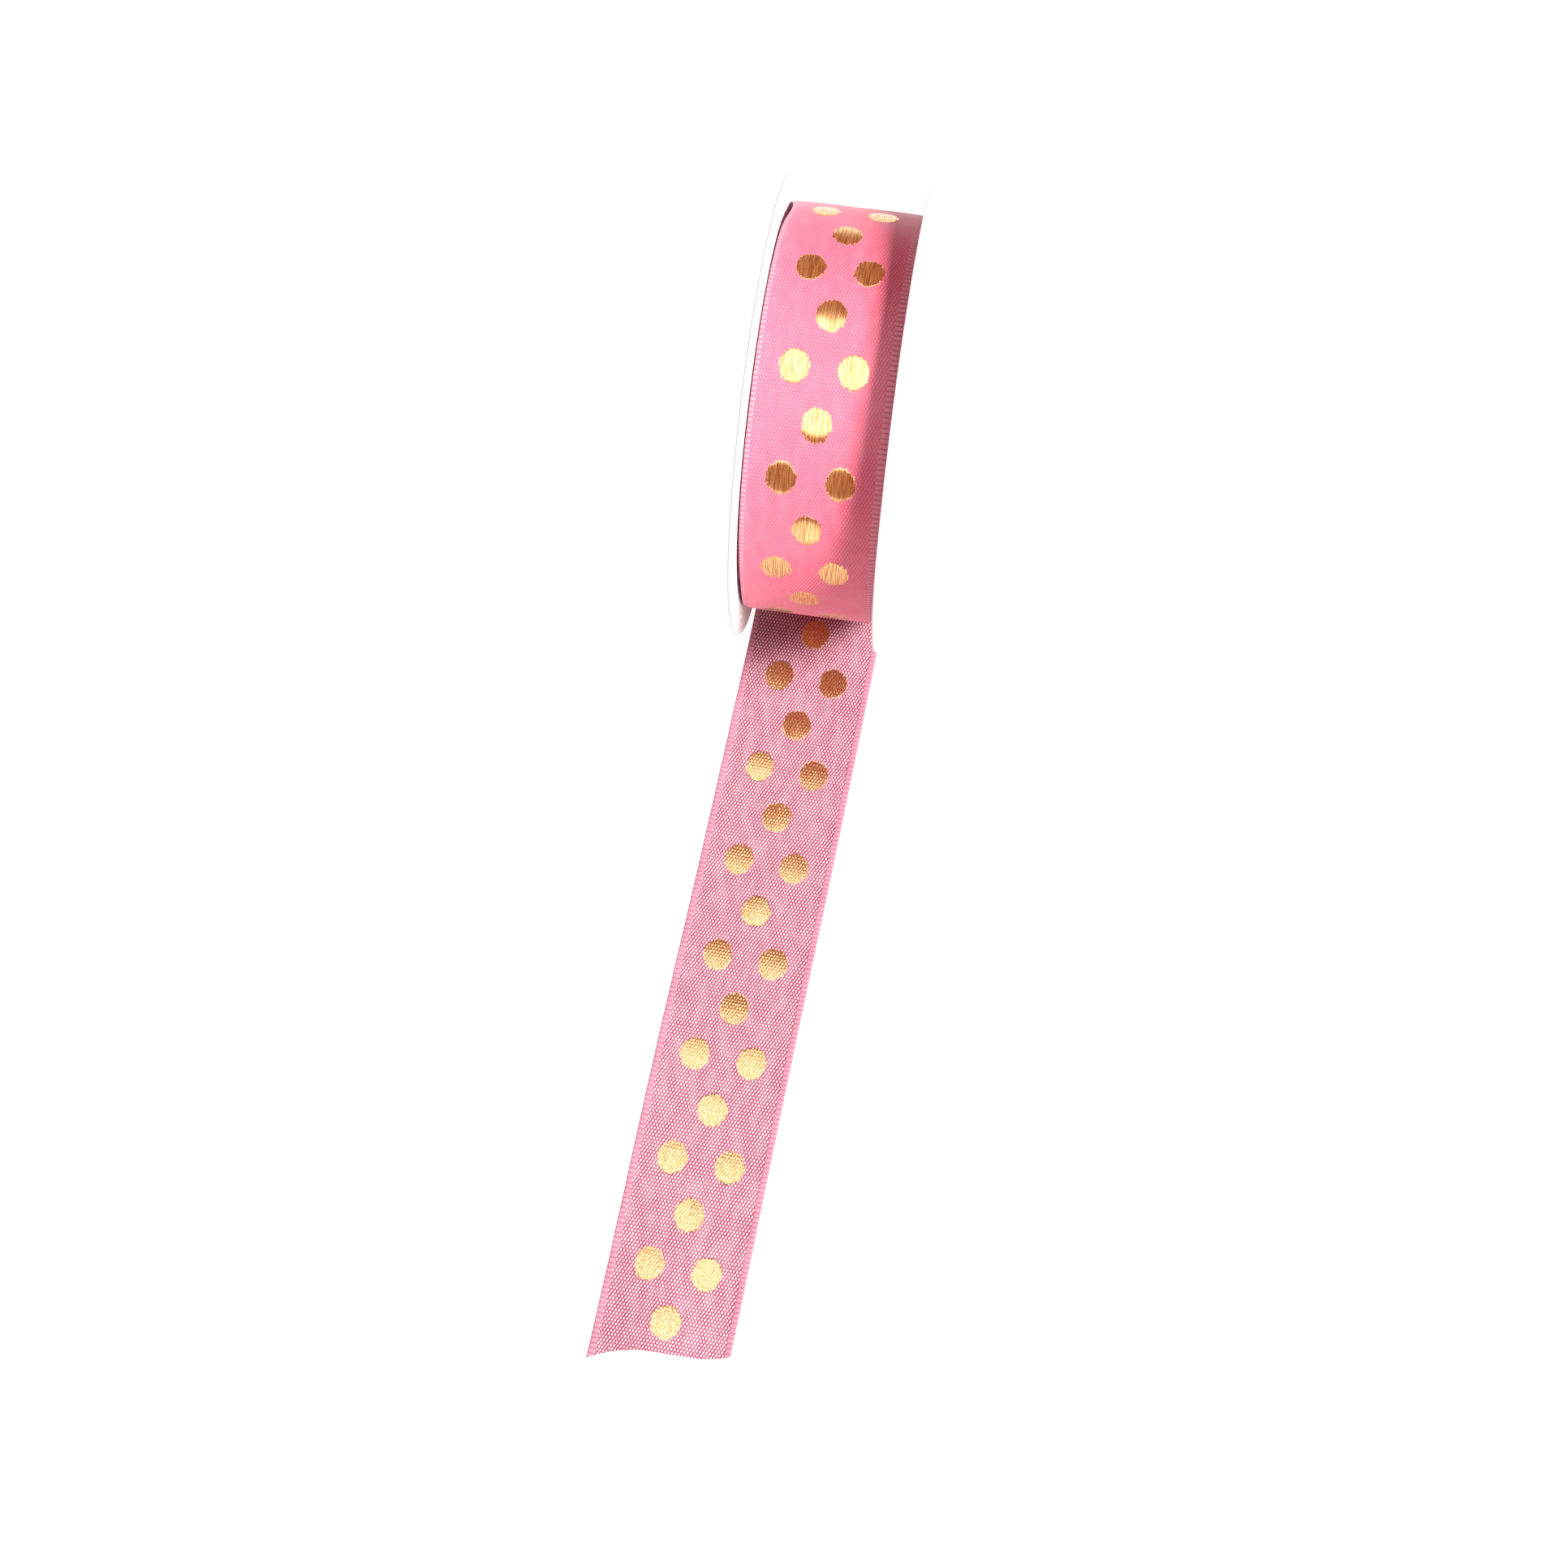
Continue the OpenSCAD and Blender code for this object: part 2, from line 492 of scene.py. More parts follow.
@dataclass(frozen=True)
class SideLook:
    """What differs between the ribbon's two sides. The values given here are the face's."""

    ground: tuple = (0.79, 0.135, 0.21, 1.0)
    # the floats' colour is a painted sheen on the weave's floats, and the grooves' colour is painted shade
    # in its grooves and between the selvedge's ribs
    float_sheen_colour: tuple = (0.80, 0.32, 0.40, 1.0)
    groove_shade_colour: tuple = (0.42, 0.05, 0.11, 1.0)
    # the ribs' colour is the selvedge's own paler tone, with a painted highlight on each rib
    rib_tone_and_highlight: tuple = (0.80, 0.27, 0.34, 1.0)
    gold: tuple = (0.90, 0.60, 0.28, 1.0)
    # the gold grooves' colour is painted shade between the gold threads and, on the reverse, in the weave's
    # low places
    gold_groove_shade: tuple = (0.45, 0.16, 0.035, 1.0)
    # the ground's deeper tone by the cut: its share, and the millimetres along between which it comes in
    deeper: tuple = (0.47, 0.10, 0.165, 1.0)
    deeper_share: float = 0.0
    deeper_along: tuple = (110.0, 200.0)
    # how much the weave and the uneven yarn change the shade, and how much of the grooves' painted shade
    # and of the floats' painted sheen that gives
    contrast: float = 1.05
    yarn_share: float = 0.4
    groove_shade_share: float = 0.55
    float_sheen_share: float = 0.6
    rib_floor: float = 0.35
    # the gold: how often its threads are tied down, how much painted shade the weave lays on it, and its
    # shine
    ties: float = 0.22
    weave_shade_on_gold: float = 0.0
    metallic: float = 0.92
    gold_roughness: float = 0.19
    # heights, in tenths of a millimetre; a dot's dome falls by a power of the distance from its middle
    weave_height: float = 0.35
    dome_power: float = 4.0
    dome_fall: float = -1.2
    streak_height: float = 0.1
    gold_weave_height: float = 0.0
    tipped_height: float = 0.0


LOOKS = {
    ClothSide.FACE: SideLook(),
    ClothSide.REVERSE: SideLook(
        ground=(0.43, 0.105, 0.165, 1.0),
        # on the reverse too: the floats' colour is a painted sheen, the grooves' colour painted shade, the
        # ribs' colour a paler tone with a painted highlight, and the gold grooves' colour painted shade
        # between the threads
        float_sheen_colour=(0.64, 0.50, 0.53, 1.0),
        groove_shade_colour=(0.17, 0.02, 0.05, 1.0),
        rib_tone_and_highlight=(0.54, 0.22, 0.29, 1.0),
        gold=(0.74, 0.64, 0.36, 1.0),
        gold_groove_shade=(0.46, 0.15, 0.03, 1.0),
        deeper_share=0.75,
        contrast=1.9,
        yarn_share=0.75,
        groove_shade_share=0.95,
        float_sheen_share=0.95,
        rib_floor=0.6,
        ties=1.6,
        weave_shade_on_gold=0.8,
        metallic=0.94,
        gold_roughness=0.24,
        weave_height=0.5,
        dome_power=2.0,
        dome_fall=-1.5,
        streak_height=0.3,
        gold_weave_height=0.5,
        tipped_height=1.5,
    ),
}


@dataclass(frozen=True)
class WovenRibbon:
    """The ribbon's finish: a pink twill ground with painted shade in its grooves and painted sheen on its
    floats, ribbed selvedges and metallic gold dots.

    Sizes are in millimetres, and heights in tenths of a millimetre.
    """

    pattern: DotPattern
    row_pitch: float
    side: ClothSide
    cell_across: float = 0.59
    cell_along: float = 1.27
    # heights of the weave's rising, falling and level waves
    weave_waves: tuple = (0.25, 0.15, 0.10)
    selvedge_width: float = 1.15
    selvedge_softness: float = 0.12
    selvedge_pitch: float = 0.92
    # the share of the slow drift, which lays pale patches of the floats' painted sheen at random
    drift_share: float = 0.16
    cloth_roughness: float = 0.46
    sheen_tint: tuple = (1.0, 0.78, 0.84, 1.0)
    dot_height: float = 1.8
    thread_height: float = 0.2
    rib_heights: tuple = (0.2, 0.9)

    def dots(self, bench: NodeBench, across: Socket, along: Socket) -> DotSockets:
        """Adds the dots.

        A dot is an ellipse. Its outline is stepped by the lengthwise gold threads, each a little
        longer or shorter than the ellipse.

        Args:
            bench: The material being built.
            across: The place across the ribbon.
            along: The place along it.

        Returns:
            The sockets that the finish's colours and heights are made from.
        """
        p = self.pattern
        thread = bench.math("FLOOR", bench.over(across, p.thread_pitch))
        middle = bench.times(bench.plus(thread, 0.5), p.thread_pitch)
        from_centre = bench.minus(middle, p.ribbon_width / 2)
        from_pair = bench.minus(bench.math("ABSOLUTE", from_centre), p.pair_spacing / 2)
        reach, lengthwise = [], []
        for shift, across_centre in ((0.0, from_pair), (self.row_pitch, from_centre)):
            wrapped = bench.math("WRAP", bench.plus(along, shift), self.row_pitch, -self.row_pitch)
            lengthwise.append(wrapped)
            reach.append(bench.length(bench.over(across_centre, p.dot_width / 2),
                                      bench.over(wrapped, p.dot_length / 2)))
        outward = bench.math("MINIMUM", *reach)
        is_single = bench.math("LESS_THAN", reach[1], reach[0])
        offset = bench.mix(is_single, *lengthwise)
        tooth = bench.math("FLOOR", bench.over(along, p.tooth_length))
        uneven = bench.scatter(bench.combine(thread, tooth, p.tooth_chance))
        shaken = bench.scaled(uneven, p.ragged * 2, bench.minus(outward, p.ragged))
        inside = bench.ramp(shaken, 1.0 - p.outline_softness, 1.0 + p.outline_softness, 1.0, 0.0)
        row = bench.math("ROUND", bench.over(bench.minus(along, offset), self.row_pitch))
        side = bench.times(bench.math("SIGN", from_centre), bench.minus(1.0, is_single))
        tilt = bench.minus(bench.scatter(bench.combine(row, side, p.tilt_chance)), 0.5)
        return DotSockets(inside, thread, outward, bench.times(tilt, offset))

    def cloth(self, bench: NodeBench, across: Socket, along: Socket) -> ClothSockets:
        """Adds the weave and the selvedges.

        The weave is three cosine waves over a diamond lattice of floats, drawn out along one
        diagonal: one that rises along the ribbon, one that falls, and one level one at twice the
        rate. The selvedges' ribs are the size of a sine wave along the edge.

        Args:
            bench: The material being built.
            across: The place across the ribbon.
            along: The place along it.

        Returns:
            The sockets that the finish's colours and heights are made from.
        """
        turns_across = bench.times(across, FULL_TURN / self.cell_across)
        turns_along = bench.times(along, FULL_TURN / self.cell_along)
        rising = bench.math("COSINE", bench.plus(turns_across, turns_along))
        falling = bench.math("COSINE", bench.minus(turns_across, turns_along))
        level = bench.math("COSINE", bench.times(turns_along, 2.0))
        weave: Value = 0.5
        for wave, height in reversed(list(zip((rising, falling, level), self.weave_waves))):
            weave = bench.scaled(wave, height, weave)
        yarn = bench.noise(bench.combine(bench.times(across, 4.0), along), 1.3, 2.0)
        half = self.pattern.ribbon_width / 2
        from_edge = bench.minus(half, bench.math("ABSOLUTE", bench.minus(across, half)))
        selvedge = bench.ramp(from_edge, self.selvedge_width - self.selvedge_softness,
                              self.selvedge_width + self.selvedge_softness, 1.0, 0.0)
        wobbly = bench.scaled(yarn, 0.5, along)
        rib = bench.math("ABSOLUTE", bench.math("SINE", bench.times(
            wobbly, math.pi / self.selvedge_pitch)))
        return ClothSockets(across, along, weave, yarn, selvedge, rib)

    def cloth_colour(self, bench: NodeBench, cloth: ClothSockets, look: SideLook) -> Socket:
        """Gives the cloth's colour: the ground, painted shade in its grooves and painted sheen on its
        floats, and the ribbed selvedges.

        The shade is the weave's distance from its mean times the contrast, plus the yarn's
        unevenness. Low shades blend towards the grooves' painted shade and high ones towards the
        floats' painted sheen. A slow drift adds pale patches of that painted sheen at random. The
        selvedges' ribs have a paler tone of their own with a painted highlight, and painted shade between
        them.

        Args:
            bench: The material being built.
            cloth: The cloth's sockets.
            look: The look of this side of the ribbon.

        Returns:
            The colour's socket.
        """
        uneven = bench.scaled(bench.minus(cloth.yarn, 0.5), look.yarn_share, 0.5)
        shade = bench.scaled(bench.minus(cloth.weave, 0.5), look.contrast, uneven)
        drift = bench.noise(bench.combine(cloth.across, bench.times(cloth.along, 0.35)), 0.55, 3.0)
        colour = bench.blend(bench.ramp(cloth.along, *look.deeper_along, 0.0, look.deeper_share),
                             look.ground, look.deeper)
        # low shades take the grooves' painted shade, high ones the floats' painted sheen, and the drift
        # pale patches of that sheen
        for share, towards in (
            (bench.times(bench.ramp(shade, 0.1, 0.45, 1.0, 0.0), look.groove_shade_share), look.groove_shade_colour),
            (bench.times(bench.ramp(shade, 0.6, 0.9), look.float_sheen_share), look.float_sheen_colour),
            (bench.times(bench.ramp(drift, 0.35, 0.75), self.drift_share), look.float_sheen_colour),
        ):
            colour = bench.blend(share, colour, towards)
        # the selvedge's ribs: their own paler tone with a painted highlight, and painted shade between them
        ribbed = bench.blend(bench.ramp(cloth.rib, 0.1, 0.8, look.rib_floor, 1.0), look.groove_shade_colour,
                             look.rib_tone_and_highlight)
        return bench.blend(cloth.selvedge, colour, ribbed)

    def build(self) -> bpy.types.Material:
        """Builds the material.

        Returns:
            The material.
        """
        look = LOOKS[self.side]
        bench = NodeBench(f"ribbon_{self.side.value}")
        across, along = bench.ribbon_place()
        dots = self.dots(bench, across, along)
        cloth = self.cloth(bench, across, along)

        # gold threads run lengthwise; on the reverse they are tied down more often. Painted shade darkens
        # the gold between the threads, and on the reverse in the weave's low places
        streak = bench.noise(
            bench.combine(bench.times(across, 5.5), bench.times(along, look.ties), dots.thread), 1.0
        )
        metal = bench.blend(bench.ramp(streak, 0.40, 0.60, 0.75, 0.0), look.gold, look.gold_groove_shade)
        metal = bench.blend(bench.ramp(cloth.weave, 0.20, 0.45, look.weave_shade_on_gold, 0.0), metal,
                            look.gold_groove_shade)
        bench.dress("Base Color", bench.blend(dots.inside, self.cloth_colour(bench, cloth, look), metal))
        bench.dress("Metallic", bench.times(dots.inside, look.metallic))
        bench.dress("Roughness", bench.ramp(dots.inside, 0.0, 1.0, self.cloth_roughness,
                                            look.gold_roughness))
        bench.set(Sheen_Weight=0.1, Sheen_Roughness=0.35, Sheen_Tint=self.sheen_tint,
                  Specular_IOR_Level=0.35)

        round_thread = bench.math("ABSOLUTE", bench.math("SINE", bench.times(
            across, math.pi / self.pattern.thread_pitch)))
        dome = bench.times(bench.math("POWER", dots.outward, look.dome_power), look.dome_fall)
        dot_height = bench.plus(bench.scaled(round_thread, self.thread_height, bench.scaled(
            streak, look.streak_height, self.dot_height)), dome)
        dot_height = bench.scaled(cloth.weave, look.gold_weave_height, dot_height)
        dot_height = bench.scaled(dots.tipped, look.tipped_height, dot_height)
        rib_low, rib_rise = self.rib_heights
        ground_height = bench.mix(cloth.selvedge, bench.times(cloth.weave, look.weave_height),
                                  bench.scaled(cloth.rib, rib_rise, rib_low))
        bench.raise_surface(bench.mix(dots.inside, ground_height, dot_height), 0.1 * MM)
        return bench.material


@dataclass(frozen=True)
class RibbonEdges:
    """The finish of the wound ribbon's sides: the edges of many layers seen end on."""

    layer_mm: float = 0.35
    light: tuple = (0.80, 0.20, 0.34, 1.0)
    dark: tuple = (0.40, 0.04, 0.11, 1.0)
    fibre_scale: float = 2600.0

    def build(self) -> bpy.types.Material:
        """Builds the material: thin rings of lighter and darker thread, one to a layer.

        Returns:
            The material.
        """
        bench = NodeBench("ribbon_edges")
        place = bench.object_place()
        _, y, z = bench.parts(place)
        layer = bench.math("FLOOR", bench.over(bench.length(y, z), self.layer_mm * MM))
        tone = bench.scatter(bench.combine(layer, 1.0))
        fibre = bench.noise(place, self.fibre_scale, 3.0)
        share = bench.math("MULTIPLY_ADD", fibre, 0.7, bench.times(tone, 0.5), clamp=True)
        bench.dress("Base Color", bench.blend(share, self.dark, self.light))
        bench.set(Roughness=0.75, Sheen_Weight=0.2)
        bench.raise_surface(fibre, 0.05 * MM)
        return bench.material


@dataclass(frozen=True)
class MouldedPlastic:
    """White moulded plastic: smooth, with faint flow marks and fine scuffs."""

    name: str = "white_moulding"
    colour: tuple = (0.78, 0.78, 0.77, 1.0)
    flow_colour: tuple = (0.73, 0.73, 0.715, 1.0)
    roughness_low: float = 0.24
    roughness_high: float = 0.31

    def build(self) -> bpy.types.Material:
        """Builds the material.

        Returns:
            The material.
        """
        bench = NodeBench(self.name)
        place = bench.object_place()
        flow = bench.noise(place, 38.0, 3.0, 0.55)
        grain = bench.noise(place, 900.0)
        scuff = bench.ramp(bench.noise(place, 260.0, 5.0, 0.7), 0.52, 0.72)
        bench.dress("Base Color", bench.blend(bench.ramp(flow, 0.35, 0.7), self.colour, self.flow_colour))
        bench.dress("Roughness", bench.ramp(scuff, 0.0, 1.0, self.roughness_low, self.roughness_high))
        bench.set(IOR=1.5)
        bench.raise_surface(bench.scaled(grain, 0.15, bench.times(flow, 0.85)), 0.02 * MM, 0.25)
        return bench.material


@dataclass(frozen=True)
class ClothTape:
    """Cream adhesive tape with a fine woven grain."""

    light: tuple = (0.72, 0.62, 0.42, 1.0)
    dark: tuple = (0.52, 0.42, 0.26, 1.0)
    thread: float = 0.4 * MM

    def build(self) -> bpy.types.Material:
        """Builds the material: a plain weave, which is the product of two crossed sine waves.

        Returns:
            The material.
        """
        bench = NodeBench("cloth_tape")
        x, y, _ = bench.parts(bench.object_place())
        waves = [bench.math("SINE", bench.times(value, FULL_TURN / self.thread)) for value in (x, y)]
        weave = bench.scaled(bench.times(*waves), 0.5, 0.5)
        bench.dress("Base Color", bench.blend(weave, self.dark, self.light))
        bench.set(Roughness=0.7)
        bench.raise_surface(weave, 0.05 * MM)
        return bench.material


@dataclass(frozen=True)
class PaleFloor:
    """A plain pale floor, faintly lit from below as a light table is."""

    colour: tuple = (0.30, 0.30, 0.30, 1.0)
    uneven: tuple = (0.27, 0.27, 0.27, 1.0)
    glow: float = 0.94

    def build(self) -> bpy.types.Material:
        """Builds the material, with a very faint change of tone.

        Returns:
            The material.
        """
        bench = NodeBench("pale_floor")
        tone = bench.noise(bench.object_place(), 3.0)
        bench.dress("Base Color", bench.blend(tone, self.colour, self.uneven))
        bench.set(Roughness=0.7, Specular_IOR_Level=0.2, Emission_Color=(1.0, 1.0, 1.0, 1.0),
                  Emission_Strength=self.glow)
        return bench.material


# ------------------------------------------------------------------------------------- the spool's sizes


@dataclass(frozen=True)
class SpoolSizes:
    """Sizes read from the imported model, in metres."""

    roll_radius: float
    ribbon_half: float
    flange_radius: float
    inner_face: float
    outer_face: float
    core_radius: float
    bore_tube_tip: float

    @classmethod
    def from_frame(cls) -> "SpoolSizes":
        """Reads the boxes of the CAD nodes.

        Returns:
            The sizes.
        """
        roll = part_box("ribbon_roll")[1]
        flange_low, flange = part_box("right_flange")
        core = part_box("core_tube")[1]
        return cls(
            roll_radius=roll.z,
            ribbon_half=roll.x,
            flange_radius=flange.z,
            inner_face=core.x,
            outer_face=flange.x,
            core_radius=core.z,
            bore_tube_tip=flange_low.x,
        )


# ------------------------------------------------------------------------------------------- the ribbon


@dataclass(frozen=True)
class RibbonStrip:
    """A ribbon with real thickness, carried along a path.

    Its cross-section is a closed loop: the upper side from left to right, a rounded right edge, the
    lower side back again, and a rounded left edge.
    """

    width: float
    thickness: float
    across_points: int = 49
    edge_points: int = 3

    def section(self) -> tuple[np.ndarray, np.ndarray]:
        """Gives the cross-section's loop.

        Returns:
            Each point's place across, from minus one half to one half, and its place through the
            cloth, from minus one half on the lower side to one half on the upper one.
        """
        rounding = self.thickness / 2 / self.width
        flat = np.linspace(-0.5 + rounding, 0.5 - rounding, self.across_points)
        turn = np.linspace(math.pi / 2, -math.pi / 2, self.edge_points + 2)[1:-1]
        right_across, right_through = 0.5 - rounding + rounding * np.cos(turn), 0.5 * np.sin(turn)
        across = np.concatenate([flat, right_across, flat[::-1], -right_across[::-1]])
        through = np.concatenate([np.full_like(flat, 0.5), right_through, np.full_like(flat, -0.5),
                                  right_through[::-1]])
        return across, through

    def end_faces(self, first_point: int, flip: bool) -> list:
        """Gives the faces that close one end.

        Args:
            first_point: The number of the end row's first point.
            flip: Whether the faces point the other way.

        Returns:
            A quad for each stretch across the ribbon, and one face for each rounded edge.
        """
        loop = 2 * (self.across_points + self.edge_points)
        upper = np.arange(self.across_points - 1)
        last = self.across_points + self.edge_points + self.across_points - 1
        faces = np.stack([upper, upper + 1, last - upper - 1, last - upper], axis=1)
        sides = [
            [*range(self.across_points - 1, self.across_points + self.edge_points + 1)],
            [*range(last, loop), 0],
        ]
        made = [*faces.tolist(), *sides]
        return [[first_point + p for p in (face[::-1] if flip else face)] for face in made]

    def dress(
        self, made: bpy.types.Object, faces: np.ndarray, upper: bpy.types.Material,
        lower: bpy.types.Material,
    ) -> None:
        """Puts one finish on the ribbon's upper side, edges and ends, and another on its lower side.

        Args:
            made: The ribbon's object.
            faces: The point numbers of its first faces, which go round its loop row by row.
            upper: The finish of the upper side.
            lower: The finish of the lower side.
        """
        columns = 2 * (self.across_points + self.edge_points)
        column = faces.min(axis=1) % columns
        first_lower = self.across_points + self.edge_points - 1
        index = np.zeros(len(made.data.polygons), np.int32)
        index[: len(faces)] = (column >= first_lower) & (column < columns - self.edge_points)
        for finish in (upper, lower):
            made.data.materials.append(finish)
        made.data.polygons.foreach_set("material_index", index)


@dataclass
class WoundLayers:
    """The wound ribbon under its outermost turn: a ring whose sides show the edge of every layer."""

    sizes: SpoolSizes
    layer: float = 0.35 * MM
    inner_gap: float = 0.22 * MM
    turn_points: int = 160
    uneven: float = 0.10 * MM
    ridge: float = 0.07 * MM
    # the outermost layers stand back a little from the left flange
    slack_layers: int = 8
    slack: float = 0.8 * MM
    seed: int = 11
    edges: RibbonEdges = field(default_factory=RibbonEdges)

    def profile(self) -> tuple[np.ndarray, np.ndarray]:
        """Gives the closed profile.

        On a side, each layer has a crest at the middle of its thickness and a groove where it meets
        the next, and lies a little in or out of line at random.

        Returns:
            Each point's radius, and its distance along the axis.
        """
        low, high = self.sizes.core_radius + self.inner_gap, self.sizes.roll_radius - self.layer
        count = round((high - low) / self.layer)
        joints = np.linspace(low, high, count + 1)
        chance = np.random.default_rng(self.seed)
        sides = []
        for side in (1, -1):
            inset = chance.uniform(0.0, self.uneven, count)
            inset[-self.slack_layers:] += self.slack * (side < 0)
            groove = np.concatenate([inset[:1], (inset[1:] + inset[:-1]) / 2, inset[-1:]]) + self.ridge
            radius = np.empty(2 * count + 1)
            inward = np.empty(2 * count + 1)
            radius[0::2], radius[1::2] = joints, (joints[1:] + joints[:-1]) / 2
            inward[0::2], inward[1::2] = groove, inset
            sides.append((radius, self.sizes.ribbon_half - inward))
        (right_r, right_x), (left_r, left_x) = sides
        return np.concatenate([right_r, left_r[::-1]]), np.concatenate([right_x, -left_x[::-1]])

    def build(self) -> bpy.types.Object:
        """Turns the profile round the axis and dresses it.

        Returns:
            The new object.
        """
        radius, along_axis = self.profile()
        points = turned_points(along_axis, radius, self.turn_points)
        faces = quads_of_grid(self.turn_points, len(radius), close_rows=True, close_columns=True)
        made = mesh_object("wound_layers", points, faces.tolist())
        made.data.materials.append(self.edges.build())
        return made


@dataclass
class OuterTurn:
    """The outermost turn of ribbon, lying on the layers below it."""

    sizes: SpoolSizes
    pattern: DotPattern
    thickness: float = 0.35 * MM
    turn_points: int = 384
    first_pair_deg: float = 130.7
    pattern_shift_mm: float = -0.35
    to_right: float = 0.04 * MM
    left_trim: float = 0.12 * MM
    curl_share: float = 0.2
    curl_drop: float = 0.22 * MM
    edge_wander: float = 0.05 * MM
    # waves round the turn: how many, their height and their phase
    curl_waves: tuple = ((2, 0.25, 0.6), (5, 0.15, 2.0))
    wander_waves: tuple = ((3, 1.0, 1.0), (7, 0.5, 0.0))
    # where the left edge draws in from the flange: degrees round the turn, spread in degrees, distance
    drawn_in: tuple = ((131.0, 10.0, 0.8 * MM), (-6.0, 17.0, 0.35 * MM))

    @property
    def middle_radius(self) -> float:
        """The radius of the middle of the cloth's thickness."""
        return self.sizes.roll_radius - self.thickness / 2

    def relief(self, across: np.ndarray, angle: np.ndarray) -> np.ndarray:
        """Gives how far the cloth stands off a true cylinder.

        Each edge curls down over a share of the width, as the square of the distance into that
        share, and the curl comes and goes slowly round the turn.

        Args:
            across: Places across the ribbon, from minus one half to one half.
            angle: Angles round the turn, in radians.

        Returns:
            The distances, in metres, which are negative where the cloth lies lower.
        """
        into = np.clip((np.abs(across) - 0.5 + self.curl_share) / self.curl_share, 0.0, 1.0)
        return -self.curl_drop * into**2 * (1.0 + wave_sum(angle, self.curl_waves))

    def sideways(self, across: np.ndarray, angle: np.ndarray) -> np.ndarray:
        """Gives how far the cloth stands to the right of its even place.

        The whole width wanders by a sum of sine waves. The left half also draws in at a few places:
        a bell curve of the angle, times the square of twice the distance left of the middle.

        Args:
            across: Places across the ribbon, from minus one half to one half.
            angle: Angles round the turn, in radians.

        Returns:
            The distances, in metres.
        """
        moved = self.edge_wander * wave_sum(angle, self.wander_waves)
        for place_deg, spread_deg, distance in self.drawn_in:
            away = np.abs((np.degrees(angle) - place_deg + 180.0) % 360.0 - 180.0)
            bell = np.exp(-((away / spread_deg) ** 2))
            moved = moved + distance * bell * np.clip(-2 * across, 0.0, 1.0) ** 2
        return moved

    def build(self, face: bpy.types.Material, reverse: bpy.types.Material) -> bpy.types.Object:
        """Makes the turn.

        Args:
            face: The finish of the ribbon's face, which is outwards.
            reverse: The finish of its reverse.

        Returns:
            The new object.
        """
        strip = RibbonStrip(2 * self.sizes.ribbon_half, self.thickness)
        across, through = strip.section()
        angle = (np.arange(self.turn_points) * FULL_TURN / self.turn_points)[:, None]
        radius = self.middle_radius + through * self.thickness + self.relief(across, angle)
        x = across * (strip.width - self.left_trim) + self.to_right + self.sideways(across, angle)
        points = np.stack(
            np.broadcast_arrays(x, -radius * np.cos(angle), radius * np.sin(angle)), axis=-1
        )
        faces = quads_of_grid(self.turn_points, len(across), close_rows=True, close_columns=True)
        made = mesh_object("outer_turn", points, faces.tolist())
        self.lay_pattern(made.data, across)
        strip.dress(made, faces, face, reverse)
        return made

    def lay_pattern(self, mesh: bpy.types.Mesh, across: np.ndarray) -> None:
        """Writes the turn's ribbon map: millimetres across, and along from the first pair of dots.

        The place along is the share of a turn before the first pair, times a turn's length. The
        faces that close the turn take the next whole turn's value at their far points, so that the
        pattern closes too.

        Args:
            mesh: The turn's mesh.
            across: The places across of the points of one row.
        """
        point = corner_points(mesh)
        row, column = point // len(across), point % len(across)
        corners = row.reshape(-1, 4)
        closing = (corners.max(axis=1) == self.turn_points - 1) & (corners.min(axis=1) == 0)
        row = np.where(np.repeat(closing, 4) & (row == 0), self.turn_points, row)
        row_pitch = self.pattern.row_pitch(self.sizes.roll_radius / MM)
        turn_mm, whole = self.pattern.rows_in_a_turn * row_pitch, 2 * row_pitch
        before_first = self.first_pair_deg / 360.0 - row / self.turn_points + 1.0
        base = math.floor(self.first_pair_deg / 360.0 * turn_mm / whole) * whole
        place = np.stack([(across[column] + 0.5) * self.pattern.ribbon_width - self.pattern_shift_mm,
                          before_first * turn_mm - base], axis=1)
        write_map(mesh, place / MAP_SPAN_MM)


@dataclass(frozen=True)
class ClothWaves:
    """How the lying cloth stands above its middle line, beyond its path's own shape. Sizes in metres."""

    cut_zone: float = 45.0 * MM
    cut_height: float = 0.55 * MM
    cut_waves: float = 1.15
    cut_start: float = 0.08
    rim_from: float = 0.36
    lies_from: float = 24.0 * MM
    lies_over: float = 20.0 * MM
    ripple_height: float = 0.11 * MM
    ripple_length: float = 13.0 * MM
    ripple_phase: float = 2.0
    hollow_height: float = 0.22 * MM
    hollow_length: float = 67.0 * MM
    hollow_sway: float = 0.6

    def above(self, across: np.ndarray, y: np.ndarray, reach: float) -> np.ndarray:
        """Gives the height above the middle line.

        Towards the cut, a soft cosine wave runs across the ribbon and grows as the square of the
        eased distance. Once the ribbon lies flat, its edges ripple a little along their length, and
        it is slightly hollow: its edges rise as the square of the distance from its middle.

        Args:
            across: Places across the ribbon, from minus one half to one half.
            y: Places in front of the axis, as negative numbers.
            reach: How far the ribbon reaches in front of the axis.

        Returns:
            The heights, in metres.
        """
        near_cut = eased((-y - reach + self.cut_zone) / self.cut_zone)
        soft = 1.0 + np.cos(FULL_TURN * (across * self.cut_waves + self.cut_start))
        rim = np.clip((np.abs(across) - self.rim_from) / (0.5 - self.rim_from), 0.0, 1.0) ** 2
        lying = eased((-y - self.lies_from) / self.lies_over)
        ripple = 1.0 + np.sin(FULL_TURN * y / self.ripple_length + self.ripple_phase * np.sign(across))
        hollow = (2 * across) ** 2 * (1.0 + self.hollow_sway * np.sin(FULL_TURN * y / self.hollow_length))
        return (self.cut_height * soft * near_cut**2 + self.ripple_height * rim * lying * ripple
                + self.hollow_height * lying * hollow)


